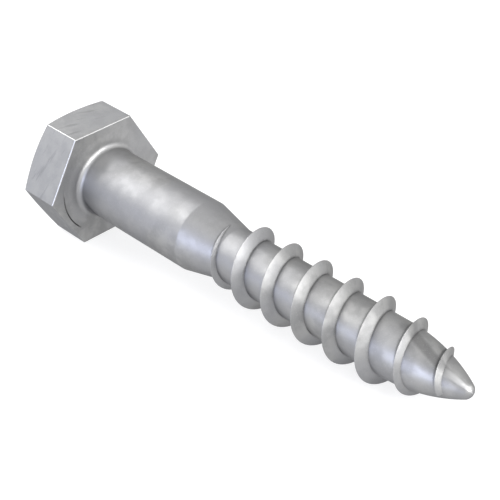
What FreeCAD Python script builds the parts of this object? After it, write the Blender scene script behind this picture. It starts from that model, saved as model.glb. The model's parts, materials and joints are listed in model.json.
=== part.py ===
import FreeCAD, Part
import math
import os

# Coach screw: hexagon head, round seat, plain shank, taper and a coarse right-hand wood thread.
# Millimetres. The screw is drawn along +X with the hexagon's underside at x = 0, then laid down
# on the plane z = 0, where it rests on one flat of its head and on one turn of its thread.

# Head
ACROSS_FLATS = 17.0
HEAD_HEIGHT = 6.76
CROWN_DIAMETER = 16.8
CROWN_SLOPE_DEG = 22.0
SEAT_DIAMETER = 15.4
SEAT_HEIGHT = 0.25
SEAT_FILLET = 0.6

# Shank, taper, core and point, measured from the hexagon's underside
SHANK_DIAMETER = 10.12
SHANK_LENGTH = 19.9
TAPER_LENGTH = 6.0
CORE_DIAMETER = 7.474
SCREW_LENGTH = 64.4
POINT_LENGTH = 11.4
POINT_RADIUS = 1.18

# Thread
THREAD_DIAMETER = 10.469
PITCH = 5.146
FLANK_ANGLE_DEG = 30.0
CREST_WIDTH = 0.08
THREAD_SETBACK = 3.82  # from the end of the shank to the first turn
THREAD_START_DEG = 57.0  # where around the screw the first turn begins
RUN_IN_TURNS = 0.89

# Thread on the point
POINT_PITCH = 4.95
POINT_THREAD_HEIGHT = 0.72
POINT_FALL_LENGTH = 3.4
THREAD_STOP = 3.05  # from the last turn to the tip
LAST_CREST_HEIGHT = 0.48
LAST_FALL_TURNS = 0.2

# Construction
ROOT_SINK = 0.35  # how deep the ridge is set into the core
START_SINK = 0.05  # how deep the first crest lies under the taper
SECTORS = 8  # the blank is turned in this many sectors, which keeps its facets few
SECTIONS_PER_TURN = 12
LONGEST_SPAN = 0.25  # turns of the ridge in one face
CROWN_MARGIN = 1.0  # how far the cone that cuts the crown reaches past the corners
TANGENT_STEP = 0.0001  # share of a span over which its end tangents are measured

core_radius = CORE_DIAMETER / 2
shank_radius = SHANK_DIAMETER / 2
thread_radius = THREAD_DIAMETER / 2
taper_end = SHANK_LENGTH + TAPER_LENGTH
point_start = SCREW_LENGTH - POINT_LENGTH
flank_slope = math.tan(math.radians(FLANK_ANGLE_DEG))

# The point is an arc tangent to the core that runs into a small ball at the tip
ball_centre_x = SCREW_LENGTH - POINT_RADIUS
ball_reach = ball_centre_x - point_start
ogive_radius = (ball_reach**2 + core_radius**2 - POINT_RADIUS**2) / (2 * (core_radius - POINT_RADIUS))
ogive_centre_r = core_radius - ogive_radius
ogive_to_ball = math.atan2(-ogive_centre_r, ball_reach)

ORIGIN = FreeCAD.Vector(0, 0, 0)
SCREW_AXIS = FreeCAD.Vector(1, 0, 0)
HEAD_MIDDLE = FreeCAD.Vector(-HEAD_HEIGHT / 2, 0, 0)


def polar(centre_x, centre_r, radius, angle):
    """Point of the half section at an angle from +X about a centre."""
    return centre_x + radius * math.cos(angle), centre_r + radius * math.sin(angle)


def section_point(x, r):
    return FreeCAD.Vector(x, 0, r)


def section_arc(start, middle, end):
    arc = Part.Arc(section_point(*start), section_point(*middle), section_point(*end))
    return arc.toBSpline().toShape()


def section_line(start, end):
    return Part.makeLine(section_point(*start), section_point(*end))


def turned(edges, sectors):
    """Solid of revolution about the X axis from a closed half section."""
    wedges = []
    for i in range(sectors):
        face = Part.Face(Part.Wire(edges))
        face.rotate(ORIGIN, SCREW_AXIS, 360 * i / sectors)
        wedges.append(face.revolve(ORIGIN, SCREW_AXIS, 360 / sectors))
    if sectors == 1:
        return wedges[0]
    return wedges[0].multiFuse(wedges[1:])


def head():
    """Hexagonal prism with its outer corners turned off to a shallow cone."""
    corner_radius = ACROSS_FLATS / 2 / math.cos(math.radians(30))
    corners = []
    for k in range(7):
        angle = math.radians(60 * k)
        corners.append(
            FreeCAD.Vector(-HEAD_HEIGHT, corner_radius * math.cos(angle), corner_radius * math.sin(angle))
        )
    hexagon = Part.Face(Part.makePolygon(corners))
    prism = hexagon.extrude(FreeCAD.Vector(HEAD_HEIGHT, 0, 0))
    crown_radius = CROWN_DIAMETER / 2
    outside = corner_radius + CROWN_MARGIN
    drop = (outside - crown_radius) * math.tan(math.radians(CROWN_SLOPE_DEG))
    outline = [
        (-HEAD_HEIGHT, 0),
        (-HEAD_HEIGHT, crown_radius),
        (-HEAD_HEIGHT + drop, outside),
        (0, outside),
        (0, 0),
    ]
    edges = [section_line(a, b) for a, b in zip(outline, outline[1:] + outline[:1])]
    return prism.common(turned(edges, 1))


def seat():
    """Disc of the raised seat, let into the head."""
    disc = Part.Face(Part.Wire(Part.makeCircle(SEAT_DIAMETER / 2, HEAD_MIDDLE, SCREW_AXIS)))
    return disc.extrude(FreeCAD.Vector(SEAT_HEIGHT - HEAD_MIDDLE.x, 0, 0))


def blank():
    """Fillet, shank, taper, core and point, turned in one piece and let into the head."""
    fillet_top = shank_radius + SEAT_FILLET
    fillet_end = SEAT_HEIGHT + SEAT_FILLET
    ogive_end = polar(point_start, ogive_centre_r, ogive_radius, ogive_to_ball)
    ogive_middle = polar(point_start, ogive_centre_r, ogive_radius, (math.pi / 2 + ogive_to_ball) / 2)
    edges = [
        section_line((HEAD_MIDDLE.x, 0), (HEAD_MIDDLE.x, fillet_top)),
        section_line((HEAD_MIDDLE.x, fillet_top), (SEAT_HEIGHT, fillet_top)),
        section_arc(
            (SEAT_HEIGHT, fillet_top),
            polar(fillet_end, fillet_top, SEAT_FILLET, math.radians(225)),
            (fillet_end, shank_radius),
        ),
        section_line((fillet_end, shank_radius), (SHANK_LENGTH, shank_radius)),
        section_line((SHANK_LENGTH, shank_radius), (taper_end, core_radius)),
        section_line((taper_end, core_radius), (point_start, core_radius)),
        section_arc((point_start, core_radius), ogive_middle, ogive_end),
        section_arc(
            ogive_end,
            polar(ball_centre_x, 0, POINT_RADIUS, ogive_to_ball / 2),
            (SCREW_LENGTH, 0),
        ),
        section_line((SCREW_LENGTH, 0), (HEAD_MIDDLE.x, 0)),
    ]
    return turned(edges, SECTORS)


def surface_radius(x):
    """Radius of the blank, without its thread, from the end of the shank to the tip."""
    if x <= SHANK_LENGTH:
        return shank_radius
    if x < taper_end:
        return shank_radius + (core_radius - shank_radius) * (x - SHANK_LENGTH) / TAPER_LENGTH
    if x <= point_start:
        return core_radius
    return ogive_centre_r + math.sqrt(max(ogive_radius**2 - (x - point_start) ** 2, 0))


def ease(t):
    """Smooth step from 0 to 1."""
    t = min(max(t, 0), 1)
    return t * t * (3 - 2 * t)


# The thread advances by one pitch a turn, and by a slightly shorter one on the point
thread_start = SHANK_LENGTH + THREAD_SETBACK
thread_stop = SCREW_LENGTH - THREAD_STOP
turns_to_point = (point_start - thread_start) / PITCH
thread_turns = turns_to_point + (thread_stop - point_start) / POINT_PITCH


def crest_position(turn):
    if turn <= turns_to_point:
        return thread_start + PITCH * turn
    return point_start + POINT_PITCH * (turn - turns_to_point)


def ridge_section(turn):
    """Middle and crest radius of the ridge. It rises out of the taper and shrinks on the point."""
    x = crest_position(turn)
    full_height = thread_radius - core_radius
    if turn < RUN_IN_TURNS:
        # The flank towards the tip stays where it is all along, so a low crest lies further forward
        forward = (thread_radius - surface_radius(thread_start)) * flank_slope
        first_radius = surface_radius(thread_start + forward) - START_SINK
        radius = first_radius + (thread_radius - first_radius) * turn / RUN_IN_TURNS
        return x + (thread_radius - radius) * flank_slope, radius
    if turn <= turns_to_point:
        return x, thread_radius
    fall = ease((x - point_start) / POINT_FALL_LENGTH)
    height = full_height + (POINT_THREAD_HEIGHT - full_height) * fall
    last = min(max((turn - thread_turns) / LAST_FALL_TURNS + 1, 0), 1)
    height = height + (LAST_CREST_HEIGHT - POINT_THREAD_HEIGHT) * last
    return x, surface_radius(x) + height


def ridge_corners(turn):
    """The four corners (x, r) of the ridge's section: crest back and front, root front and back."""
    middle, radius = ridge_section(turn)
    root = surface_radius(middle) - ROOT_SINK
    crest_half = CREST_WIDTH / 2
    root_half = crest_half + (radius - root) * flank_slope
    return [
        (middle - crest_half, radius),
        (middle + crest_half, radius),
        (middle + root_half, root),
        (middle - root_half, root),
    ]


def on_helix(turn, corner):
    angle = math.radians(THREAD_START_DEG + 360 * turn)
    x, r = corner
    return FreeCAD.Vector(x, r * math.cos(angle), r * math.sin(angle))


def rail(k, start, end):
    """Helical edge of corner k of the ridge's section between two places on the thread."""
    count = math.ceil((end - start) * SECTIONS_PER_TURN)
    turns = [start + (end - start) * i / count for i in range(count + 1)]
    points = [on_helix(turn, ridge_corners(turn)[k]) for turn in turns]
    step = (end - start) * TANGENT_STEP
    just_after = on_helix(start + step, ridge_corners(start + step)[k])
    just_before = on_helix(end - step, ridge_corners(end - step)[k])
    curve = Part.BSplineCurve()
    curve.interpolate(
        Points=points,
        Parameters=turns,
        InitialTangent=just_after.sub(points[0]).multiply(1 / step),
        FinalTangent=points[-1].sub(just_before).multiply(1 / step),
    )
    return curve.toShape()


def span_ends():
    """Places along the thread where one span of its faces meets the next."""
    marks = [0, RUN_IN_TURNS, turns_to_point, thread_turns - LAST_FALL_TURNS, thread_turns]
    ends = [0]
    for start, end in zip(marks, marks[1:]):
        spans = math.ceil((end - start) / LONGEST_SPAN)
        ends += [start + (end - start) * i / spans for i in range(1, spans + 1)]
    return ends


def ridge():
    """The thread's ridge: ruled faces between four helical rails, and a cap at each end."""
    ends = span_ends()
    faces = []
    for start, end in zip(ends, ends[1:]):
        rails = [rail(k, start, end) for k in range(4)]
        faces += [Part.makeRuledSurface(rails[k], rails[(k + 1) % 4]) for k in range(4)]
    for turn in (ends[0], ends[-1]):
        corners = [on_helix(turn, corner) for corner in ridge_corners(turn)]
        faces.append(Part.Face(Part.makePolygon(corners + corners[:1])))
    shell = Part.makeShell(faces)
    shell.sewShape()
    solid = Part.makeSolid(shell)
    if solid.Volume < 0:
        solid.reverse()
    return solid


def resting_tilt_deg():
    """Angle by which the point drops until a crest under the screw meets the plane of the head's flat."""
    lowest = math.pi / 2
    steps = math.ceil(thread_turns * 360)
    for i in range(steps + 1):
        turn = thread_turns * i / steps
        x, radius = ridge_section(turn)
        depth = -on_helix(turn, (x, radius)).z
        lowest = min(lowest, math.atan2(ACROSS_FLATS / 2 - depth, x))
    return math.degrees(lowest)


def laid_down(shape):
    """Tips the screw point down about its head's edge and puts the origin under its middle."""
    tilted = shape.copy()
    tilted.rotate(ORIGIN, FreeCAD.Vector(0, 1, 0), resting_tilt_deg())
    box = tilted.optimalBoundingBox(False)
    tilted.translate(FreeCAD.Vector(-box.Center.x, -box.Center.y, -box.ZMin))
    return tilted


def coach_screw():
    return head().fuse(seat()).fuse(blank()).fuse(ridge())


os.makedirs("parts", exist_ok=True)
screw = laid_down(coach_screw())
screw.exportStep("parts/coach_screw.step")
print("tilt %.3f degrees, thread %.2f turns, ogive radius %.2f" % (resting_tilt_deg(), thread_turns, ogive_radius))
print("valid %s, solids %d, volume %.1f mm3" % (screw.isValid(), len(screw.Solids), screw.Volume))
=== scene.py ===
import json
import math

import bmesh
import bpy
import numpy as np
from mathutils import Matrix, Vector


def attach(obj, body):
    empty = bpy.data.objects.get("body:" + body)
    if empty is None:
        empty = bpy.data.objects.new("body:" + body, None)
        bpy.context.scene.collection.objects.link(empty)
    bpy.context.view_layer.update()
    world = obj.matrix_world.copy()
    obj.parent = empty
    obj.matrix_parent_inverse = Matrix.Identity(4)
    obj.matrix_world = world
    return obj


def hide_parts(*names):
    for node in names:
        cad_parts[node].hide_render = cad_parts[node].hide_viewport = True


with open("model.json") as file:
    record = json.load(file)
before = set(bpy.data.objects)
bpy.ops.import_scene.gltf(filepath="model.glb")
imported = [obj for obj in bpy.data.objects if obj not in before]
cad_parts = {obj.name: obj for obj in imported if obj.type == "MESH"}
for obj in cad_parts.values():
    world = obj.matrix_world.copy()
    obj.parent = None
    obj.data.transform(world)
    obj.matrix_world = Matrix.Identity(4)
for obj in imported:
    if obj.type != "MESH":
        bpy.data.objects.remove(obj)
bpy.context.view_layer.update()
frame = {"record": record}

# Coach screw: a zinc-coated screw that lies on a white studio floor. Lengths are in metres, and in
# millimetres where a name ends in _MM. The screw is drawn along +X with the underside of its
# hexagon at x = 0, and then laid down where the frame's mounts say that its axis and its seat are.
# A bearing is a direction about the screw's axis, from +Y towards +Z.

bl_info = {
    "name": "Coach screw",
    "version": (1, 0, 0),
    "blender": (4, 5, 0),
    "location": "View3D > Sidebar > Coach screw",
    "description": "Builds a zinc-coated coach screw and the studio that it lies in",
    "category": "Add Mesh",
}

MM = 0.001
WHITE = (1.0, 1.0, 1.0)
SKY = (0.68, 0.745, 1.0)

HEXAGON_SIDES = 6
SHARP_ANGLE = math.radians(38)

# Distance from an edge to the extra row of points that keeps the face beside it flat.
EDGE_GUARD = 0.03 * MM

# How worn the crest of the thread is, where the worn edges of the head are 1; those are kept to one
# corner, where they are also a painted highlight.
CREST_WEAR = 0.62

# How much of the seat's soft step each of its two rounded edges takes up, and the gap that the
# outer one leaves beside the groove, as a share of itself.
STEP_ROUNDING = 0.45
GROOVE_GAP = 0.05

# Steps of the mesh over each stretch of the half section, from the crown to the tip.
CROWN_STEPS = 10
CROWN_EDGE_STEPS = 4
SHOULDER_STEPS = 6
FLAT_STEPS = 8
FOOT_STEPS = 8
UNDERSIDE_STEPS = 5
SEAT_EDGE_STEPS = 6
SEAT_STEPS = 2
FILLET_STEPS = 12
SHANK_STEPS = 40
TAPER_BREAK_STEPS = 6
TAPER_STEPS = 16
CORE_STEPS = 80
POINT_STEPS = 40
BALL_STEPS = 12

# Steps over each flank and over the crest of the thread's ridge.
FLANK_STEPS = 5
CREST_STEPS = 6

# Nearness to the middle of a mark is the cosine of the angle to its bearing. Each pair gives the
# nearness at which the mark begins and at which it is full.
HIGHLIT_CORNER_NEARNESS = (0.48, 0.52)
GROOVE_NEARNESS = (0.86, 0.93)
GROOVE_SHADE_NEARNESS = (0.87, 0.93)
FILLET_NEARNESS = (0.3, 0.85)
ROOT_NEARNESS = (0.1, 0.6)
POINT_SHADE_NEARNESS = (0.96, 0.995)
POINT_HIGHLIGHT_NEARNESS = (0.96, 0.997)

# Where a mark on the zinc is nothing and where it is full, along the screw.
ON_HEAD_MM = (-0.2, -0.6)
ON_CROWN_MM = (-6.35, -6.7)
FILLET_BEGINS_MM = (0.08, 0.4)
FILLET_ENDS_MM = (4.5, 1.2)
ROOTS_BEGIN_MM = (6.0, 12.0)
ROLLED_BEGINS_MM = (23.0, 28.0)
ROLLED_ENDS_MM = (54.0, 46.0)
POINT_SHADE_BEGINS_MM = (51.0, 57.0)
POINT_SHADE_ENDS_MM = (63.2, 62.0)
POINT_HIGHLIGHT_BEGINS_MM = (60.3, 62.0)

# The same for a distance from the screw's axis, and for the painted shade in the groove: across it,
# and along the screw to both sides of it.
ON_CORE_MM = (4.2, 3.8)
GROOVE_SHADE_ACROSS_MM = (0.14, 0.06)
GROOVE_SHADE_ALONG_MM = (0.5, 0.3)

# The same for the level of a mark's soft spots, and for how open to the air a point lies.
MOTTLE_LEVELS = (0.35, 0.65)
CAST_LEVELS = (0.42, 0.6)
HANDLED_LEVELS = (0.54, 0.72)
SMUDGE_LEVELS = (0.55, 0.68)
GRAIN_LEVELS = (0.55, 0.75)
WEAR_AND_HIGHLIGHT_LEVELS = (0.65, 0.85)
ROOT_OPENNESS = (0.94, 0.82)

# How much of its colour each mark has where it is full.
CAST_SHARE = 0.7
FLATS_SHARE = 0.4
SMUDGE_SHARE = 0.55
FILLET_SHARE = 0.6
POINT_SHADE_SHARE = 0.5
POINT_HIGHLIGHT_SHARE = 0.85
PAINTED_SHADE_SHARE = 0.75
GRAIN_SHARE = 0.25

# What each mark adds to the roughness where it is full.
MOTTLE_ROUGHNESS = -0.06
SMUDGE_ROUGHNESS = 0.12
ROLLED_ROUGHNESS = -0.08
POLISHED_ROUGHNESS = -0.15

# How strongly soft spots break up the worn edges, which on one corner of the head are also a painted
# highlight, and the painted shade at the roots, and how much of that shade there is away from its
# own side.
WEAR_AND_HIGHLIGHT_PATCHINESS = 0.8
ROOT_RAGGEDNESS = 0.16
ROOTS_ELSEWHERE = 0.35

# Radius at which the head's flats are unrolled for their slanted smudges.
UNROLLED_RADIUS_MM = 9.0

# The crescent of painted shade on the shank beside the head: its middle along the screw, how far
# that moves along for each millimetre aside, its half length and half width, its soft edge and its
# strength.
CRESCENT_MIDDLE_MM = 2.0
CRESCENT_SLANT = 0.58
CRESCENT_LENGTH_MM = 0.65
CRESCENT_WIDTH_MM = 1.7
CRESCENT_EDGE = (1.4, 0.2)
CRESCENT_SHARE = 0.8

# The band of painted shade on the point: where it lies at its own bearing, how far that bearing is
# from that of the painted highlight on the tip, and how far it turns in a millimetre, both in
# radians.
POINT_SHADE_MIDDLE_MM = 60.4
POINT_SHADE_ASIDE = -0.1
POINT_SHADE_TWIST = -0.082

# Sockets of the mix node that hold its two colours and their mixture.
FIRST_COLOUR = 6
SECOND_COLOUR = 7
MIXED_COLOUR = 2

SENSOR_WIDTH_MM = 36
NEAR_CLIP = 10 * MM

# Name, bearing from +X and height above the floor in degrees, side in metres, watts and tint of
# each lamp.
SOFT_BOXES = (
    ("point_side_low", 0, 20, 0.3, 2.12, WHITE),
    ("point_side_high", 0, 37, 0.3, 1.22, WHITE),
    ("point_side_far", 30, 20, 0.3, 0.92, WHITE),
    ("head_side_high", 180, 37, 0.48, 2.02, WHITE),
    ("head_side_near", 210, 37, 0.3, 0.94, WHITE),
    ("near_side_low", 270, 5, 0.42, 3.0, SKY),
)


def length(name, description, default):
    """A size in metres."""
    return bpy.props.FloatProperty(
        name=name, description=description, default=default, min=0, precision=5, unit="LENGTH"
    )


def angle(name, description, degrees):
    return bpy.props.FloatProperty(
        name=name, description=description, default=math.radians(degrees), unit="ROTATION"
    )


def amount(name, description, default):
    return bpy.props.FloatProperty(name=name, description=description, default=default, min=0)


def count(name, description, default):
    return bpy.props.IntProperty(name=name, description=description, default=default, min=1)


def colour(name, description, default):
    return bpy.props.FloatVectorProperty(
        name=name, description=description, default=default, size=3, min=0, max=1, subtype="COLOR"
    )


class HeadSizes(bpy.types.PropertyGroup):
    across_flats: length("Across flats", "Width of the hexagon from flat to flat", 17.0 * MM)
    height: length("Height", "From the underside of the hexagon to the top of the crown", 6.76 * MM)
    crown_diameter: length("Crown diameter", "Flat circle on the top of the head", 16.8 * MM)
    crown_slope: angle("Crown slope", "Slope of the turned corners above the flats", 22)
    seat_diameter: length("Seat diameter", "Raised round seat under the hexagon", 15.4 * MM)
    mount_height: length("Mount height", "From the hexagon to the mount of the seat", 0.25 * MM)
    seat_height: length("Seat height", "How far the seat stands proud of the hexagon", 0.1 * MM)
    seat_fillet: length("Seat fillet", "Radius between the seat and the shank", 0.74 * MM)
    seat_rim: length("Seat rim", "Width of the worn, soft step around the seat", 0.95 * MM)
    groove_depth: length("Groove depth", "Depth of the groove around the seat", 0.1 * MM)
    groove_width: length("Groove width", "Width of that groove", 0.18 * MM)
    groove_side: angle("Groove side", "Bearing of the middle of that groove", 200)
    corner_break: length("Corner break", "Radius on the six corners of the hexagon", 0.12 * MM)
    foot_break: length("Foot break", "Radius around the underside of the hexagon", 0.15 * MM)
    crown_break: length("Crown break", "Radius around the crown and above the flats", 0.1 * MM)
    # The worn edges of the head are kept to the corner at this bearing, where they catch the light,
    # so they are also a painted highlight.
    highlit_corner_side: angle("Burnished side", "Bearing of the corner whose edges are worn", 120)


class ShankSizes(bpy.types.PropertyGroup):
    diameter: length("Diameter", "Plain shank", 10.12 * MM)
    plain_length: length("Plain length", "From the hexagon to the end of the plain shank", 19.9 * MM)
    taper_length: length("Taper", "From the plain shank to the core of the thread", 6.0 * MM)
    core_diameter: length("Core diameter", "Core of the thread", 7.474 * MM)
    screw_length: length("Screw length", "From the underside of the hexagon to the tip", 64.4 * MM)
    point_length: length("Point", "Curved part of the core at the tip", 11.4 * MM)
    point_radius: length("Point radius", "Ball at the tip", 1.18 * MM)
    taper_break: length("Taper break", "Radius at both ends of the taper", 1.0 * MM)


class ThreadSizes(bpy.types.PropertyGroup):
    diameter: length("Diameter", "Over the crests", 10.469 * MM)
    pitch: length("Pitch", "Advance in one turn", 5.146 * MM)
    flank_angle: angle("Flank angle", "Between a flank and a plane across the screw", 30)
    crest_width: length("Crest width", "Across the rounded crest", 0.08 * MM)
    setback: length("Setback", "From the end of the plain shank to the first turn", 4.206 * MM)
    start: angle("Start", "Where around the screw the first turn begins", 84)
    run_in: amount("Run-in", "Turns over which the thread rises out of the taper", 0.815)
    point_pitch: length("Point pitch", "Advance in one turn on the point", 4.95 * MM)
    point_height: length("Point height", "Height of the thread on the point", 0.72 * MM)
    point_fall: length("Point fall", "Length over which the thread sinks to that height", 3.4 * MM)
    stop: length("Stop", "From the last turn to the tip", 3.05 * MM)
    last_height: length("Last height", "Height of the thread where it stops", 0.48 * MM)
    last_fall: amount("Last fall", "Turns over which the thread sinks to its last height", 0.2)
    root_sink: length("Root sink", "How deep the ridge is set into the core", 0.35 * MM)
    rows_per_turn: count("Rows per turn", "Sections of the ridge in one turn", 144)


class ZincFinish(bpy.types.PropertyGroup):
    zinc: colour("Zinc", "Colour of the zinc coating", (0.268, 0.268, 0.268))
    zinc_light: colour("Light zinc", "Colour of its lighter crystals", (0.338, 0.337, 0.334))
    zinc_blue: colour("Blue zinc", "Colour where it has a blue cast", (0.292, 0.293, 0.302))
    # Flats: the whole head is painted lighter and bluer than the shank, standing in for the light on
    # its flats.
    flats: colour("Flats", "Colour of the flats and crown of the head", (0.322, 0.326, 0.337))
    smudge: colour("Smudge", "Colour of handled places", (0.22, 0.22, 0.222))
    # Grime: the colour of painted shade at the roots of the thread, in the corner and the groove
    # under the head, and in a band on the point.
    painted_shade: colour("Grime", "Colour of grime at roots and in corners", (0.1, 0.1, 0.1))
    # Worn edge: used for worn edges, which on one corner of the head are also a painted highlight,
    # for the painted sheen on the fillet under the head, and for the grain.
    worn: colour("Worn edge", "Colour where the coating is burnished", (0.46, 0.46, 0.46))
    # Polished point: the colour of a painted highlight along the tip.
    point_highlight_tint: colour("Polished point", "Colour of the streak on the tip", (0.5, 0.5, 0.505))
    edge_tint: amount("Edge tint", "Brightness of the reflection at a grazing angle", 0.35)
    roughness: amount("Roughness", "Mean roughness of the coating", 0.53)
    mottle: length("Mottle", "Size of the coating's light and dark spots", 2.2 * MM)
    cast: length("Blue cast", "Size of the patches with a blue cast", 9.0 * MM)
    peel: length("Peel", "Size of the coating's soft waves", 1.4 * MM)
    edge_wear_and_highlight: length("Wear", "Size of the burnished places along an edge", 0.5 * MM)
    grain: length("Grain", "Size of the coating's grain", 0.12 * MM)
    peel_depth: length("Peel depth", "Depth of the soft waves", 0.03 * MM)
    grain_depth: length("Grain depth", "Depth of the grain", 0.002 * MM)
    handled: length("Handled", "Size of the smudges on the crown", 2.6 * MM)
    smudge_width: length("Smudge width", "Width of the smudges on the flats", 1.0 * MM)
    smudge_length: length("Smudge length", "Length of the smudges on the flats", 5.5 * MM)
    smudge_turn: angle("Smudge turn", "Slant of the smudges across the flats", 17)
    # The next bearings and the reach place the painted highlight on the tip, the painted sheen on
    # the fillet, and the painted shade at the roots and in the corner under the head.
    point_side: angle("Point side", "Bearing of the bright streak on the tip", 119)
    fillet_sheen_side: angle("Rubbed side", "Bearing at which the fillet under the head is bright", 100)
    root_shade_side: angle("Root side", "Bearing at which the roots of the thread are darkest", 95)
    corner_shade_side: angle("Grime side", "Bearing of the grime in the corner under the head", -153)
    shade_reach: length("Grime reach", "How far grime reaches out of the roots", 0.35 * MM)


class StudioSettings(bpy.types.PropertyGroup):
    lens: amount("Lens", "Focal length of the camera in millimetres", 91.05)
    camera_x: length("Camera along", "Camera, from the hexagon along the screw", 122.42 * MM)
    camera_y: length("Camera aside", "Camera, out to the side of the screw", 93.67 * MM)
    camera_z: length("Camera up", "Camera, above the screw's axis", 95.81 * MM)
    floor_size: length("Floor", "Side of the floor", 4.0)
    floor_colour: colour("Floor colour", "Colour of the floor's paper", (0.35, 0.35, 0.35))
    floor_white: amount("Floor white", "White of the floor in the camera's view", 0.75)
    floor_in_metal: amount("Floor in metal", "White of the floor in a reflection", 0.75)
    room_light: amount("Room light", "Light of the room, which looks white at any level", 0.6)
    lamp_distance: length("Lamp distance", "From the screw to each lamp", 0.6)


def unit(vectors):
    return vectors / np.linalg.norm(vectors, axis=-1, keepdims=True)


def ramp(values, low, high):
    """Values between two limits as a share from 0 to 1."""
    return np.clip((values - low) / (high - low), 0, 1)


def rounded_corner(before, at, after, radius, steps):
    """Rows of points on the arc that rounds a corner of the half section, in all directions."""
    back = unit(before - at)
    ahead = unit(after - at)
    opening = np.arccos(np.clip((back * ahead).sum(-1, keepdims=True), -1, 1))
    centre = at + unit(back + ahead) * radius / np.sin(opening / 2)
    turn = math.pi - opening
    reach = radius / np.tan(opening / 2)
    first = at + back * reach - centre
    last = at + ahead * reach - centre
    return [
        centre + (np.sin((1 - t) * turn) * first + np.sin(t * turn) * last) / np.sin(turn)
        for t in np.linspace(0, 1, steps + 1)
    ]


def straight(start, end, steps):
    """Rows of points between two rows, without the two rows themselves."""
    return [start + (end - start) * t for t in np.linspace(0, 1, steps + 1)[1:-1]]


def guarded(start, end, steps):
    """The same, with one more row close to each end, so that a flat face stays flat there."""
    beside = unit(end - start) * EDGE_GUARD
    return [start + beside, *straight(start, end, steps), end - beside]


def rounded(steps):
    """How far a row lies from the two ends of a rounded edge: 0 at both ends and 1 between."""
    return [0.0] + [1.0] * (steps - 1) + [0.0]


def hexagon_outline(head, side_steps=24, corner_steps=10):
    """Direction and radius of points around a hexagon with rounded corners, starting near +Y."""
    half_corner = math.pi / HEXAGON_SIDES
    centre = (head.across_flats / 2 - head.corner_break) / math.cos(half_corner)
    outline = []
    corners = []

    def on_corner(middle, bearing):
        """Point at a bearing on the rounding of the corner whose own bearing is the middle one."""
        return (
            centre * math.cos(middle) + head.corner_break * math.cos(bearing),
            centre * math.sin(middle) + head.corner_break * math.sin(bearing),
        )

    for k in range(HEXAGON_SIDES):
        middle = 2 * half_corner * k
        for t in np.linspace(-1, 1, corner_steps + 1):
            outline.append(on_corner(middle, middle + half_corner * t))
        ahead = middle + 2 * half_corner
        start = np.array(outline[-1])
        end = np.array(on_corner(ahead, ahead - half_corner))
        side = guarded(start, end, side_steps)
        outline += [tuple(p) for p in side]
        corners += rounded(corner_steps) + [0.0] * len(side)
    y, z = np.array(outline).T
    return np.arctan2(z, y), np.hypot(y, z), np.array(corners)


def ogive(shank):
    """Radius and centre of the arc of the point, and the angle at which it meets the ball."""
    core = shank.core_diameter / 2
    reach = shank.point_length - shank.point_radius
    radius = (reach**2 + core**2 - shank.point_radius**2) / (2 * (core - shank.point_radius))
    centre_r = core - radius
    return radius, centre_r, math.atan2(-centre_r, reach)


def groove_rows(head, directions):
    """Rows across the groove that runs around one side of the seat and fades out at its ends."""
    depth = head.groove_depth * ramp(np.cos(directions - head.groove_side), *GROOVE_NEARNESS)
    return [
        np.stack([-depth * in_middle, np.full_like(directions, radius)], -1)
        for in_middle, radius in (
            (0, (head.seat_diameter + head.groove_width) / 2),
            (1, head.seat_diameter / 2),
            (0, (head.seat_diameter - head.groove_width) / 2),
        )
    ]


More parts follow.
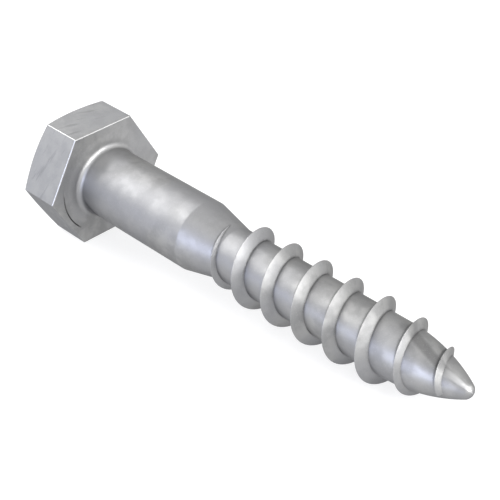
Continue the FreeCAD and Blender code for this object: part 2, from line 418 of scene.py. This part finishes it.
def blank_rows(head, shank, directions, hexagon, corners):
    """Rows (x, r) of the screw without its thread, from crown to tip, and how worn each is, with the
    worn head edges kept to one corner as a painted highlight.
    """
    def same(x, r):
        return np.stack([np.full_like(directions, x), np.full_like(directions, r)], -1)

    crown = head.crown_diameter / 2
    shank_r = shank.diameter / 2
    core = shank.core_diameter / 2
    fillet_top = shank_r + head.seat_fillet
    fillet_end = head.seat_height + head.seat_fillet
    drop = (hexagon - crown) * math.tan(head.crown_slope)
    top = same(-head.height, 0)
    crown_edge = same(-head.height, crown)
    flat_top = np.stack([-head.height + drop, hexagon], -1)
    flat_foot = np.stack([np.zeros_like(hexagon), hexagon], -1)
    groove = groove_rows(head, directions)
    round_off = STEP_ROUNDING * head.seat_rim
    foot_r = (head.seat_diameter - head.groove_width) / 2 - (1 + GROOVE_GAP) * round_off
    seat_foot = same(0, foot_r)
    seat_edge = same(head.seat_height, foot_r - head.seat_rim)
    seat_inside = same(head.seat_height, fillet_top)
    seat_bend = round_off / math.tan(math.atan2(head.seat_height, head.seat_rim) / 2)
    taper_end = shank.plain_length + shank.taper_length
    point_start = shank.screw_length - shank.point_length
    rows = []
    worn_and_highlit = []

    def lay(new_rows, worn=0.0):
        rows.extend(new_rows)
        worn_and_highlit.extend([worn * np.ones_like(directions)] * len(new_rows))

    lay(straight(top, crown_edge, CROWN_STEPS))
    lay([crown_edge + unit(top - crown_edge) * (head.crown_break + EDGE_GUARD)])
    lay(rounded_corner(top, crown_edge, flat_top, head.crown_break, CROWN_EDGE_STEPS))
    lay(rounded_corner(crown_edge, flat_top, flat_foot, head.crown_break, SHOULDER_STEPS))
    foot = rounded_corner(flat_top, flat_foot, seat_foot, head.foot_break, FOOT_STEPS)
    lay(guarded(rows[-1], foot[0], FLAT_STEPS), corners)
    for row, inside in zip(foot, rounded(FOOT_STEPS)):
        lay([row], np.maximum(inside, corners))
    lay(guarded(rows[-1], groove[0], UNDERSIDE_STEPS))
    lay(groove)
    lay(rounded_corner(flat_foot, seat_foot, seat_edge, seat_bend, SEAT_EDGE_STEPS))
    lay(rounded_corner(seat_foot, seat_edge, seat_inside, seat_bend, SEAT_EDGE_STEPS))
    lay(straight(rows[-1], seat_inside, SEAT_STEPS))
    for bearing in np.linspace(math.pi, 1.5 * math.pi, FILLET_STEPS + 1):
        x = fillet_end + head.seat_fillet * math.cos(bearing)
        lay([same(x, fillet_top + head.seat_fillet * math.sin(bearing))])
    shank_end = same(shank.plain_length, shank_r)
    core_start = same(taper_end, core)
    core_end = same(point_start, core)
    lay(straight(rows[-1], shank_end, SHANK_STEPS))
    lay(rounded_corner(rows[-1], shank_end, core_start, shank.taper_break, TAPER_BREAK_STEPS))
    lay(straight(rows[-1], core_start, TAPER_STEPS))
    lay(rounded_corner(shank_end, core_start, core_end, shank.taper_break, TAPER_BREAK_STEPS))
    lay(straight(rows[-1], core_end, CORE_STEPS))
    radius, centre_r, to_ball = ogive(shank)
    for bearing in np.linspace(math.pi / 2, to_ball, POINT_STEPS + 1):
        lay([same(point_start + radius * math.cos(bearing), centre_r + radius * math.sin(bearing))])
    ball = shank.screw_length - shank.point_radius
    for bearing in np.linspace(to_ball, 0, BALL_STEPS + 1)[1:-1]:
        across = shank.point_radius * math.sin(bearing)
        lay([same(ball + shank.point_radius * math.cos(bearing), across)])
    # Worn head edges only around one corner, where they catch the light: partly a painted highlight.
    on_side = ramp(np.cos(directions - head.highlit_corner_side), *HIGHLIT_CORNER_NEARNESS)
    return rows, [worn * on_side for worn in worn_and_highlit]


def surface_radius(shank, x):
    """Radius of the screw without its thread, from the end of the shank to the tip."""
    shank_r = shank.diameter / 2
    core = shank.core_diameter / 2
    point_start = shank.screw_length - shank.point_length
    radius, centre_r, _ = ogive(shank)
    if x <= shank.plain_length:
        return shank_r
    if x < shank.plain_length + shank.taper_length:
        return shank_r + (core - shank_r) * (x - shank.plain_length) / shank.taper_length
    if x <= point_start:
        return core
    return centre_r + math.sqrt(max(radius**2 - (x - point_start) ** 2, 0))


def ease(t):
    """Smooth step from 0 to 1."""
    t = min(max(t, 0), 1)
    return t * t * (3 - 2 * t)


class ThreadPath:
    """Where the ridge of the thread runs: its turns, and the middle and height of its section."""

    def __init__(self, shank, thread):
        self.shank = shank
        self.thread = thread
        self.start_x = shank.plain_length + thread.setback
        self.point_x = shank.screw_length - shank.point_length
        self.turns_to_point = (self.point_x - self.start_x) / thread.pitch
        stop_x = shank.screw_length - thread.stop
        self.turns = self.turns_to_point + (stop_x - self.point_x) / thread.point_pitch

    def crest_x(self, turn):
        if turn <= self.turns_to_point:
            return self.start_x + self.thread.pitch * turn
        return self.point_x + self.thread.point_pitch * (turn - self.turns_to_point)

    def middle_and_radius(self, turn):
        """The ridge rises out of the taper, runs at full height and shrinks on the point."""
        thread = self.thread
        full = thread.diameter / 2
        slope = math.tan(thread.flank_angle)
        x = self.crest_x(turn)
        if turn < thread.run_in:
            forward = (full - surface_radius(self.shank, self.start_x)) * slope
            first = surface_radius(self.shank, self.start_x + forward)
            radius = first + (full - first) * turn / thread.run_in
            return x + (full - radius) * slope, radius
        if turn <= self.turns_to_point:
            return x, full
        height = full - self.shank.core_diameter / 2
        height += (thread.point_height - height) * ease((x - self.point_x) / thread.point_fall)
        last = min(max((turn - self.turns) / thread.last_fall + 1, 0), 1)
        height += (thread.last_height - thread.point_height) * last
        return x, surface_radius(self.shank, x) + height

    def section(self, turn):
        """Points (x, r) of the ridge's section, from its back root over the crest to the front."""
        middle, radius = self.middle_and_radius(turn)
        angle_of_flank = self.thread.flank_angle
        root = surface_radius(self.shank, middle) - self.thread.root_sink
        crest_half = self.thread.crest_width / 2
        crest_radius = crest_half / math.cos(angle_of_flank)
        centre = radius - crest_radius
        foot = centre + crest_radius * math.sin(angle_of_flank)
        points = []
        for r in [*np.linspace(root, foot, FLANK_STEPS)[:-1], foot - EDGE_GUARD]:
            points.append((-crest_half - (foot - r) * math.tan(angle_of_flank), r))
        for bearing in np.linspace(math.pi - angle_of_flank, angle_of_flank, CREST_STEPS + 1):
            across = crest_radius * math.cos(bearing)
            points.append((across, centre + crest_radius * math.sin(bearing)))
        points += [(-x, r) for x, r in reversed(points[:FLANK_STEPS])]
        return [(middle + x, r) for x, r in points]


def mesh_object(name, vertices, faces, worn_and_highlit=None):
    """A new object with a mesh, and each point's share of worn edge and painted edge highlight where
    that is given.
    """
    mesh = bpy.data.meshes.new(name)
    mesh.from_pydata([tuple(v) for v in vertices], [], faces)
    if worn_and_highlit is not None:
        shares = mesh.attributes.new("worn_and_highlit", "FLOAT", "POINT")
        shares.data.foreach_set("value", np.ravel(worn_and_highlit))
    shape = bmesh.new()
    shape.from_mesh(mesh)
    bmesh.ops.recalc_face_normals(shape, faces=shape.faces)
    shape.to_mesh(mesh)
    shape.free()
    piece = bpy.data.objects.new(name, mesh)
    bpy.context.scene.collection.objects.link(piece)
    return piece


def about_axis(x, r, bearing):
    """Point at a place along the screw, a radius and a direction about its axis."""
    return x, r * math.cos(bearing), r * math.sin(bearing)


def blank_mesh(head, shank):
    """The screw without its thread: a ring of points for each row, closed at crown and tip."""
    directions, hexagon, corners = hexagon_outline(head)
    rows, shares = blank_rows(head, shank, directions, hexagon, corners)
    wide = len(directions)
    vertices = [(-head.height, 0, 0), (shank.screw_length, 0, 0)]
    for row in rows:
        vertices += [about_axis(x, r, bearing) for (x, r), bearing in zip(row, directions)]

    def at(i, j):
        return 2 + i * wide + j % wide

    faces = [(0, at(0, j), at(0, j + 1)) for j in range(wide)]
    for i in range(len(rows) - 1):
        faces += [(at(i, j), at(i + 1, j), at(i + 1, j + 1), at(i, j + 1)) for j in range(wide)]
    faces += [(1, at(len(rows) - 1, j + 1), at(len(rows) - 1, j)) for j in range(wide)]
    return mesh_object("blank", vertices, faces, np.concatenate([[0, 0], *shares]))


def ridge_mesh(shank, thread):
    """The ridge of the thread as a closed bar that winds around the core."""
    path = ThreadPath(shank, thread)
    steps = math.ceil(path.turns * thread.rows_per_turn)
    vertices = []
    for i in range(steps + 1):
        turn = path.turns * i / steps
        bearing = thread.start + 2 * math.pi * turn
        section = path.section(turn)
        vertices += [about_axis(x, r, bearing) for x, r in section]
    wide = len(section)
    faces = [tuple(range(wide)), tuple(steps * wide + k for k in reversed(range(wide)))]
    for i in range(steps):
        for k in range(wide):
            nearer = i * wide
            further = nearer + wide
            ahead = (k + 1) % wide
            faces.append((nearer + k, further + k, further + ahead, nearer + ahead))
    flank = [0.0] * FLANK_STEPS
    worn_and_highlit = flank + [CREST_WEAR * inside for inside in rounded(CREST_STEPS)] + flank
    return mesh_object("ridge", vertices, faces, np.tile(worn_and_highlit, steps + 1))


def joined(first, second):
    """The two closed meshes as one closed mesh, in a new mesh; both objects are removed."""
    union = first.modifiers.new("union", "BOOLEAN")
    union.operation = "UNION"
    union.solver = "MANIFOLD"
    union.object = second
    depsgraph = bpy.context.evaluated_depsgraph_get()
    mesh = bpy.data.meshes.new_from_object(first.evaluated_get(depsgraph))
    for used in (first, second):
        old = used.data
        bpy.data.objects.remove(used)
        bpy.data.meshes.remove(old)
    return mesh


def placement(head):
    """Lays the screw down: its axis and the plane of its seat come from the frame's mounts."""
    mounts = {mount["name"]: mount for mount in frame["record"]["mounts"]}
    axis = Vector(mounts["shank"]["axis"]).normalized()
    on_axis = Vector(mounts["shank"]["pos_m"])
    on_seat = Vector(mounts["seat"]["pos_m"])
    origin = on_axis + axis * ((on_seat - on_axis).dot(axis) - head.mount_height)
    tilt = math.atan2(-axis.z, axis.x)
    return Matrix.Translation(origin) @ Matrix.Rotation(tilt, 4, "Y")


class NodeSheet:
    """Short way to add nodes to a material's node tree and to join them."""

    def __init__(self, tree):
        self.tree = tree
        tree.nodes.clear()

    def add(self, kind, **settings):
        """A new node, whose settings are values of its sockets or its own attributes."""
        node = self.tree.nodes.new(kind)
        for name, value in settings.items():
            if name in node.inputs and not hasattr(type(node), name):
                self.feed(node.inputs[name], value)
            else:
                setattr(node, name, value)
        return node

    def feed(self, socket, value):
        """A node's output or a plain value goes into a socket."""
        if isinstance(value, bpy.types.NodeSocket):
            self.tree.links.new(value, socket)
        else:
            socket.default_value = value

    def math(self, operation, *values):
        node = self.add("ShaderNodeMath", operation=operation)
        for socket, value in zip(node.inputs, values):
            self.feed(socket, value)
        return node.outputs[0]

    def every(self, mark, *others):
        """A mark that shows only where all of these marks do."""
        for other in others:
            mark = self.math("MULTIPLY", mark, other)
        return mark

    def noise(self, vector, size, detail):
        """Soft spots of a size in metres, on coordinates in millimetres."""
        node = self.add("ShaderNodeTexNoise", Scale=MM / size, Detail=detail)
        self.feed(node.inputs["Vector"], vector)
        return node.outputs["Fac"]

    def uneven(self, value, spots, reach):
        """A value that soft spots raise and lower, by half of a reach at most."""
        return self.math("ADD", value, self.math("MULTIPLY_ADD", spots, reach, -reach / 2))

    def spread(self, value, low, high):
        """A value between two limits as a smooth step from 0 to 1."""
        node = self.add("ShaderNodeMapRange", interpolation_type="SMOOTHSTEP")
        self.feed(node.inputs["Value"], value)
        node.inputs["From Min"].default_value = low
        node.inputs["From Max"].default_value = high
        return node.outputs["Result"]

    def mix(self, share, first, second):
        """A share of the second colour in the first."""
        node = self.add("ShaderNodeMix", data_type="RGBA")
        self.feed(node.inputs["Factor"], share)
        for socket, tone in ((FIRST_COLOUR, first), (SECOND_COLOUR, second)):
            from_node = isinstance(tone, bpy.types.NodeSocket)
            self.feed(node.inputs[socket], tone if from_node else (*tone, 1))
        return node.outputs[MIXED_COLOUR]


class ScrewSurface:
    """Where a point lies on the screw, in millimetres, wherever the screw has been laid down."""

    def __init__(self, sheet, laid_down):
        mapping = sheet.add("ShaderNodeMapping", vector_type="TEXTURE")
        sheet.feed(mapping.inputs["Vector"], sheet.add("ShaderNodeTexCoord").outputs["Object"])
        mapping.inputs["Location"].default_value = laid_down.translation
        mapping.inputs["Rotation"].default_value = laid_down.to_euler()
        mapping.inputs["Scale"].default_value = (MM, MM, MM)
        self.place = mapping.outputs["Vector"]
        axes = sheet.add("ShaderNodeSeparateXYZ")
        sheet.feed(axes.inputs[0], self.place)
        self.along = axes.outputs["X"]
        self.bearing = sheet.math("ARCTAN2", axes.outputs["Z"], axes.outputs["Y"])
        square = sheet.math("MULTIPLY", axes.outputs["Y"], axes.outputs["Y"])
        square = sheet.math("MULTIPLY_ADD", axes.outputs["Z"], axes.outputs["Z"], square)
        self.from_axis = sheet.math("SQRT", square)


def near_bearing(sheet, bearing, middle, limits):
    """A mark around its middle bearing, between two limits of the nearness to it."""
    nearness = sheet.math("COSINE", sheet.math("SUBTRACT", bearing, middle))
    return sheet.spread(nearness, *limits)


def head_smudges(sheet, surface, on_head, finish):
    """Slanted smudges on the flats of the head, and round ones on its crown."""
    unrolled = sheet.add("ShaderNodeCombineXYZ")
    sheet.feed(unrolled.inputs["X"], surface.along)
    sheet.feed(unrolled.inputs["Y"], sheet.math("MULTIPLY", surface.bearing, UNROLLED_RADIUS_MM))
    slanted = sheet.add("ShaderNodeMapping", vector_type="TEXTURE")
    sheet.feed(slanted.inputs["Vector"], unrolled.outputs[0])
    slanted.inputs["Rotation"].default_value = (0, 0, finish.smudge_turn)
    slanted.inputs["Scale"].default_value = (1, finish.smudge_length / finish.smudge_width, 1)
    streaks = sheet.noise(slanted.outputs["Vector"], finish.smudge_width, detail=4)
    on_crown = sheet.spread(surface.along, *ON_CROWN_MM)
    off_crown = sheet.math("SUBTRACT", 1, on_crown)
    smudges = sheet.every(sheet.spread(streaks, *SMUDGE_LEVELS), on_head, off_crown)
    handled = sheet.noise(surface.place, finish.handled, detail=4)
    return sheet.math("MULTIPLY_ADD", sheet.spread(handled, *HANDLED_LEVELS), on_crown, smudges)


def fillet_painted_sheen(sheet, surface, finish):
    """A painted sheen on one side of the fillet under the head, and of the shank beside it."""
    return sheet.every(
        sheet.spread(surface.along, *FILLET_BEGINS_MM),
        sheet.spread(surface.along, *FILLET_ENDS_MM),
        near_bearing(sheet, surface.bearing, finish.fillet_sheen_side, FILLET_NEARNESS),
    )


def root_painted_shade(sheet, surface, peel, finish):
    """Ragged painted shade at the roots of the thread, darker where a point is less open to the air,
    most of it on one side of the screw.
    """
    open_air = sheet.add("ShaderNodeAmbientOcclusion", samples=8)
    open_air.inputs["Distance"].default_value = finish.shade_reach
    openness = sheet.uneven(open_air.outputs["AO"], peel, ROOT_RAGGEDNESS)
    side = near_bearing(sheet, surface.bearing, finish.root_shade_side, ROOT_NEARNESS)
    side = sheet.math("MULTIPLY_ADD", side, 1 - ROOTS_ELSEWHERE, ROOTS_ELSEWHERE)
    begins = sheet.spread(surface.along, *ROOTS_BEGIN_MM)
    return sheet.every(sheet.spread(openness, *ROOT_OPENNESS), side, begins)


def corner_painted_shade(sheet, surface, shank, finish):
    """A slanted crescent of painted shade on the shank, in the corner under the head."""
    aside = sheet.math("SUBTRACT", surface.bearing, finish.corner_shade_side)
    aside = sheet.math("MULTIPLY", aside, shank.diameter / 2 / MM)
    middle = sheet.math("MULTIPLY_ADD", aside, CRESCENT_SLANT, CRESCENT_MIDDLE_MM)
    apart = sheet.math("SUBTRACT", surface.along, middle)
    apart = sheet.math("POWER", sheet.math("DIVIDE", apart, CRESCENT_LENGTH_MM), 2)
    aside = sheet.math("POWER", sheet.math("DIVIDE", aside, CRESCENT_WIDTH_MM), 2)
    crescent = sheet.spread(sheet.math("ADD", apart, aside), *CRESCENT_EDGE)
    return sheet.math("MULTIPLY", crescent, CRESCENT_SHARE)


def groove_painted_shade(sheet, surface, head):
    """A painted dark line of shade in the groove around the seat."""
    across = sheet.math("SUBTRACT", surface.from_axis, head.seat_diameter / 2 / MM)
    return sheet.every(
        sheet.spread(sheet.math("ABSOLUTE", across), *GROOVE_SHADE_ACROSS_MM),
        near_bearing(sheet, surface.bearing, head.groove_side, GROOVE_SHADE_NEARNESS),
        sheet.spread(sheet.math("ABSOLUTE", surface.along), *GROOVE_SHADE_ALONG_MM),
    )


def point_painted_shade(sheet, surface, finish):
    """A band of painted shade that winds slowly around the point."""
    further = sheet.math("SUBTRACT", surface.along, POINT_SHADE_MIDDLE_MM)
    bearing = sheet.math("ADD", surface.bearing, sheet.math("MULTIPLY", further, POINT_SHADE_TWIST))
    return sheet.every(
        near_bearing(sheet, bearing, finish.point_side + POINT_SHADE_ASIDE, POINT_SHADE_NEARNESS),
        sheet.spread(surface.along, *POINT_SHADE_BEGINS_MM),
        sheet.spread(surface.along, *POINT_SHADE_ENDS_MM),
    )


def point_painted_highlight(sheet, surface, finish):
    """A painted highlight in a streak along the tip."""
    side = near_bearing(sheet, surface.bearing, finish.point_side, POINT_HIGHLIGHT_NEARNESS)
    return sheet.every(side, sheet.spread(surface.along, *POINT_HIGHLIGHT_BEGINS_MM))


def zinc_material(head, shank, finish, laid_down):
    """Satin zinc: mottled, blue in patches, with smudges and worn edges, painted highlights on the
    fillet, the tip and one corner's edges, and painted shade at the roots, under the head and on the
    point.
    """
    material = bpy.data.materials.new("zinc_coating")
    material.use_nodes = True
    sheet = NodeSheet(material.node_tree)
    output = sheet.add("ShaderNodeOutputMaterial")
    shader = sheet.add("ShaderNodeBsdfPrincipled")
    surface = ScrewSurface(sheet, laid_down)

    mottle = sheet.spread(sheet.noise(surface.place, finish.mottle, detail=3), *MOTTLE_LEVELS)
    cast = sheet.spread(sheet.noise(surface.place, finish.cast, detail=2), *CAST_LEVELS)
    peel = sheet.noise(surface.place, finish.peel, detail=2)
    grain = sheet.noise(surface.place, finish.grain, detail=2)
    on_head = sheet.spread(surface.along, *ON_HEAD_MM)
    smudges = head_smudges(sheet, surface, on_head, finish)
    # A painted sheen on the fillet, painted shade in a band on the point and a painted highlight on
    # the tip.
    fillet = fillet_painted_sheen(sheet, surface, finish)
    point_shade = point_painted_shade(sheet, surface, finish)
    point_highlight = point_painted_highlight(sheet, surface, finish)
    # Painted shade at the roots of the thread, in the corner under the head and in the groove around
    # the seat.
    painted_shade = root_painted_shade(sheet, surface, peel, finish)
    painted_shade = sheet.math("MAXIMUM", painted_shade, corner_painted_shade(sheet, surface, shank, finish))
    painted_shade = sheet.math("MAXIMUM", painted_shade, groove_painted_shade(sheet, surface, head))
    # Worn edges; on one corner of the head they are also a painted highlight.
    marked = sheet.add("ShaderNodeAttribute", attribute_name="worn_and_highlit").outputs["Fac"]
    patches = sheet.noise(surface.place, finish.edge_wear_and_highlight, detail=2)
    edge_wear_and_highlight = sheet.spread(sheet.uneven(marked, patches, WEAR_AND_HIGHLIGHT_PATCHINESS), *WEAR_AND_HIGHLIGHT_LEVELS)

    tone = sheet.mix(mottle, finish.zinc, finish.zinc_light)
    for mark, share, tint in (
        (cast, CAST_SHARE, finish.zinc_blue),
        # The head painted lighter and bluer, standing in for the light on its flats.
        (on_head, FLATS_SHARE, finish.flats),
        (smudges, SMUDGE_SHARE, finish.smudge),
        (fillet, FILLET_SHARE, finish.worn),
        (point_shade, POINT_SHADE_SHARE, finish.painted_shade),
        (point_highlight, POINT_HIGHLIGHT_SHARE, finish.point_highlight_tint),
        (painted_shade, PAINTED_SHADE_SHARE, finish.painted_shade),
        (sheet.spread(grain, *GRAIN_LEVELS), GRAIN_SHARE, finish.worn),
    ):
        tone = sheet.mix(sheet.math("MULTIPLY", mark, share), tone, tint)
    sheet.feed(shader.inputs["Base Color"], sheet.mix(edge_wear_and_highlight, tone, finish.worn))

    rolled = sheet.every(
        sheet.spread(surface.along, *ROLLED_BEGINS_MM),
        sheet.spread(surface.along, *ROLLED_ENDS_MM),
        sheet.spread(surface.from_axis, *ON_CORE_MM),
    )
    rough = finish.roughness
    for mark, change in (
        (mottle, MOTTLE_ROUGHNESS),
        (smudges, SMUDGE_ROUGHNESS),
        (rolled, ROLLED_ROUGHNESS),
        (sheet.math("MAXIMUM", edge_wear_and_highlight, point_highlight), POLISHED_ROUGHNESS),
    ):
        rough = sheet.math("MULTIPLY_ADD", mark, change, rough)
    sheet.feed(shader.inputs["Roughness"], rough)

    waves = sheet.add("ShaderNodeBump", Distance=finish.peel_depth)
    sheet.feed(waves.inputs["Height"], peel)
    grit = sheet.add("ShaderNodeBump", Distance=finish.grain_depth)
    sheet.feed(grit.inputs["Height"], grain)
    sheet.feed(grit.inputs["Normal"], waves.outputs["Normal"])
    sheet.feed(shader.inputs["Normal"], grit.outputs["Normal"])

    edge = finish.edge_tint
    shader.inputs["Metallic"].default_value = 1.0
    shader.inputs["Specular Tint"].default_value = (edge, edge, edge, 1)
    sheet.feed(output.inputs["Surface"], shader.outputs[0])
    return material


class COACHSCREW_OT_screw(bpy.types.Operator):
    """Builds the zinc-coated screw with its head, shank and thread"""

    bl_idname = "coachscrew.screw"
    bl_label = "Screw"

    def execute(self, context):
        scene = context.scene
        head = scene.screw_head
        shank = scene.screw_shank
        thread = scene.screw_thread
        mesh = joined(blank_mesh(head, shank), ridge_mesh(shank, thread))
        if not mesh.polygons:
            raise RuntimeError("the thread could not be joined to the screw")
        laid_down = placement(head)
        mesh.name = "zinc_coach_screw"
        mesh.transform(laid_down)
        mesh.shade_smooth()
        mesh.set_sharp_from_angle(angle=SHARP_ANGLE)
        mesh.materials.clear()
        mesh.materials.append(zinc_material(head, shank, scene.screw_finish, laid_down))
        screw = bpy.data.objects.new("zinc_coach_screw", mesh)
        scene.collection.objects.link(screw)
        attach(screw, "root")
        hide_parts("coach_screw")
        return {"FINISHED"}


def white_for_eye(sheet, to_camera, to_metal):
    """Strength of the white for a camera ray and for a glossy or transmission ray, 1 at most."""
    path = sheet.add("ShaderNodeLightPath")
    glossy = path.outputs["Is Glossy Ray"]
    mirrored = sheet.math("MAXIMUM", glossy, path.outputs["Is Transmission Ray"])
    mirrored = sheet.math("MULTIPLY", mirrored, to_metal)
    return sheet.math("MULTIPLY_ADD", path.outputs["Is Camera Ray"], to_camera, mirrored)


def floor_material(studio):
    material = bpy.data.materials.new("white_floor")
    material.use_nodes = True
    sheet = NodeSheet(material.node_tree)
    output = sheet.add("ShaderNodeOutputMaterial")
    diffuse = sheet.add("ShaderNodeBsdfDiffuse")
    diffuse.inputs["Color"].default_value = (*studio.floor_colour, 1)
    glow = sheet.add("ShaderNodeEmission")
    white = white_for_eye(sheet, studio.floor_white, studio.floor_in_metal)
    sheet.feed(glow.inputs["Strength"], white)
    both = sheet.add("ShaderNodeAddShader")
    sheet.feed(both.inputs[0], diffuse.outputs[0])
    sheet.feed(both.inputs[1], glow.outputs[0])
    sheet.feed(output.inputs["Surface"], both.outputs[0])
    return material


def add_floor(studio):
    half = studio.floor_size / 2
    corners = [(-half, -half, 0), (half, -half, 0), (half, half, 0), (-half, half, 0)]
    floor = mesh_object("floor", corners, [(0, 1, 2, 3)])
    floor.data.materials.append(floor_material(studio))


def add_world(scene, studio):
    world = bpy.data.worlds.new("white_room")
    scene.world = world
    world.use_nodes = True
    sheet = NodeSheet(world.node_tree)
    output = sheet.add("ShaderNodeOutputWorld")
    room = sheet.add("ShaderNodeBackground")
    room.inputs["Color"].default_value = (*WHITE, 1)
    rest = 1 - studio.room_light
    strength = sheet.math("ADD", white_for_eye(sheet, rest, rest), studio.room_light)
    sheet.feed(room.inputs["Strength"], strength)
    sheet.feed(output.inputs["Surface"], room.outputs[0])


def add_soft_boxes(studio):
    """Square lamps around the screw that face it, out of the camera's sight."""
    for name, bearing, elevation, side, power, tint in SOFT_BOXES:
        lamp = bpy.data.lights.new(name, "AREA")
        lamp.shape = "SQUARE"
        lamp.size = side
        lamp.energy = power
        lamp.color = tint
        holder = bpy.data.objects.new(name, lamp)
        bpy.context.scene.collection.objects.link(holder)
        raised = Matrix.Rotation(-math.radians(elevation), 4, "Y")
        turned = Matrix.Rotation(math.radians(bearing), 4, "Z")
        place = turned @ raised @ Vector((studio.lamp_distance, 0, 0))
        holder.location = place
        holder.rotation_euler = (-place).to_track_quat("-Z", "Y").to_euler()
        holder.visible_camera = False


def add_camera(scene, studio, laid_down):
    """The camera looks down the screw's space diagonal, upright to its head's upper flat."""
    camera = bpy.data.cameras.new("camera")
    camera.lens = studio.lens
    camera.sensor_width = SENSOR_WIDTH_MM
    camera.clip_start = NEAR_CLIP
    holder = bpy.data.objects.new("camera", camera)
    scene.collection.objects.link(holder)
    look = Vector((-1, 1, -1)).to_track_quat("-Z", "Y").to_matrix().to_4x4()
    place = Matrix.Translation((studio.camera_x, -studio.camera_y, studio.camera_z))
    holder.matrix_world = laid_down @ place @ look
    scene.camera = holder


class COACHSCREW_OT_studio(bpy.types.Operator):
    """Lays the white floor, lights it softly and sets up the camera"""

    bl_idname = "coachscrew.studio"
    bl_label = "Studio"

    def execute(self, context):
        scene = context.scene
        studio = scene.screw_studio
        add_floor(studio)
        add_world(scene, studio)
        add_soft_boxes(studio)
        add_camera(scene, studio, placement(scene.screw_head))
        scene.view_settings.view_transform = "Standard"
        return {"FINISHED"}


class COACHSCREW_PT_panel(bpy.types.Panel):
    """Sizes, finish and studio of the coach screw"""

    bl_label = "Coach screw"
    bl_idname = "COACHSCREW_PT_panel"
    bl_space_type = "VIEW_3D"
    bl_region_type = "UI"
    bl_category = "Coach screw"

    def draw(self, context):
        for title, name, group in GROUPS:
            box = self.layout.box()
            box.label(text=title)
            for setting in group.__annotations__:
                box.prop(getattr(context.scene, name), setting)
        for step in STEPS:
            self.layout.operator(step.bl_idname)


GROUPS = (
    ("Head", "screw_head", HeadSizes),
    ("Shank", "screw_shank", ShankSizes),
    ("Thread", "screw_thread", ThreadSizes),
    ("Finish", "screw_finish", ZincFinish),
    ("Studio", "screw_studio", StudioSettings),
)
STEPS = (COACHSCREW_OT_screw, COACHSCREW_OT_studio)


def register():
    for _, name, group in GROUPS:
        bpy.utils.register_class(group)
        setattr(bpy.types.Scene, name, bpy.props.PointerProperty(type=group))
    for kind in (*STEPS, COACHSCREW_PT_panel):
        bpy.utils.register_class(kind)


def unregister():
    for kind in (COACHSCREW_PT_panel, *reversed(STEPS)):
        bpy.utils.unregister_class(kind)
    for _, name, group in reversed(GROUPS):
        delattr(bpy.types.Scene, name)
        bpy.utils.unregister_class(group)


def main():
    register()
    bpy.ops.coachscrew.screw()
    bpy.ops.coachscrew.studio()


if __name__ == "__main__":
    main()
